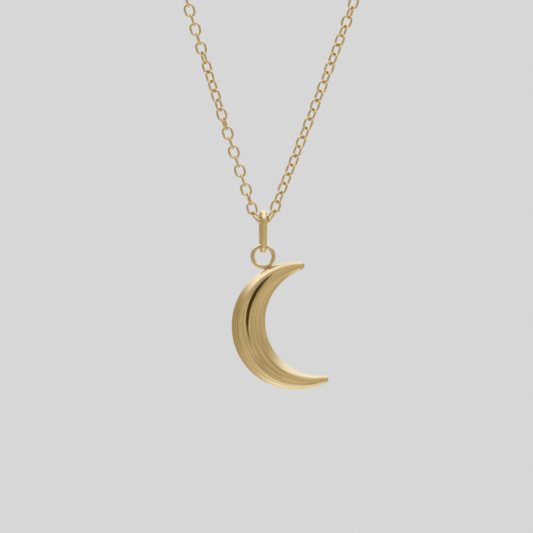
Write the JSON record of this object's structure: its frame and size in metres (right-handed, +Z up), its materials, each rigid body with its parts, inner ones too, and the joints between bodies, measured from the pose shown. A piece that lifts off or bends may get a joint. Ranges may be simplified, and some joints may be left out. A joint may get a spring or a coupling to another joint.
{
  "type": "pendant necklace",
  "caption": "Crescent moon pendant with a soldered ring and a bail, on a fine oval cable chain closed at the nape by a bolt ring.",
  "frame": {"origin": "middle of the neck opening, level with the shoulders of the chain", "axes": "+Z up, -Y towards the front where the pendant hangs, +X to the viewer's right seen from the front"},
  "size_m": [0.0896, 0.0533, 0.1877],
  "materials": {
    "polished_gold": "mirror polished pale yellow gold",
    "chain_gold": "bright drawn wire, pale yellow gold",
    "satin_gold": "soft satin pale yellow gold",
    "solder": "slightly rough gold solder",
    "spring_steel": "drawn spring wire"
  },
  "bodies": {
    "nape_chain": {"chain_left_11": "chain_gold", "chain_left_12": "chain_gold", "chain_left_13": "chain_gold", "chain_left_14": "chain_gold", "chain_right_11": "chain_gold", "chain_right_12": "chain_gold", "chain_right_13": "chain_gold", "chain_right_14": "chain_gold", "clasp_jump_ring": "polished_gold", "bolt_ring_body": "polished_gold", "clasp_spring": "spring_steel", "chain_end_ring": "polished_gold"},
    "upper_front_chain": {"chain_left_7": "chain_gold", "chain_left_8": "chain_gold", "chain_left_9": "chain_gold", "chain_left_10": "chain_gold", "chain_right_7": "chain_gold", "chain_right_8": "chain_gold", "chain_right_9": "chain_gold", "chain_right_10": "chain_gold"},
    "middle_front_chain": {"chain_left_3": "chain_gold", "chain_left_4": "chain_gold", "chain_left_5": "chain_gold", "chain_left_6": "chain_gold", "chain_right_3": "chain_gold", "chain_right_4": "chain_gold", "chain_right_5": "chain_gold", "chain_right_6": "chain_gold"},
    "lower_front_chain": {"chain_left_1": "chain_gold", "chain_left_2": "chain_gold", "chain_right_1": "chain_gold", "chain_right_2": "chain_gold", "centre_link": "chain_gold"},
    "bail": {"bail": "satin_gold"},
    "pendant": {"crescent_front_shell": "polished_gold", "crescent_back_shell": "polished_gold", "ring_solder": "solder", "pendant_ring": "polished_gold"},
    "clasp_bolt": {"clasp_bolt": "polished_gold"}
  },
  "joints": [
    {"name": "shoulder_swing", "type": "hinge", "parent": "nape_chain", "child": "upper_front_chain", "pos_m": [-0.00015, -0.025, -0.01085], "axis": [0.9999, 0, 0.0107], "range_deg": [-30, 30]},
    {"name": "middle_swing", "type": "hinge", "parent": "upper_front_chain", "child": "middle_front_chain", "pos_m": [-0.00175, -0.025, -0.06305], "axis": [0.9998, 0, -0.0214], "range_deg": [-30, 30]},
    {"name": "lower_swing", "type": "hinge", "parent": "middle_front_chain", "child": "lower_front_chain", "pos_m": [-0.00321, -0.025, -0.11596], "axis": [0.9999, 0, -0.0117], "range_deg": [-30, 30]},
    {"name": "bail_swing", "type": "hinge", "parent": "lower_front_chain", "child": "bail", "pos_m": [-0.00409, -0.02468, -0.1434], "axis": [0.9925, 0.1219, 0], "range_deg": [-40, 40]},
    {"name": "pendant_swing", "type": "hinge", "parent": "bail", "child": "pendant", "pos_m": [-0.00409, -0.02468, -0.14813], "axis": [0, 1, 0], "range_deg": [-60, 60]},
    {"name": "bolt_slide", "type": "hinge", "parent": "nape_chain", "child": "clasp_bolt", "pos_m": [0, 0.025, 0.018], "axis": [0, 0.9397, 0.342], "range_deg": [0, 57], "stiffness_Nm_per_rad": 0.002, "springref_deg": -17.19, "deforming": ["clasp_spring"]}
  ]
}
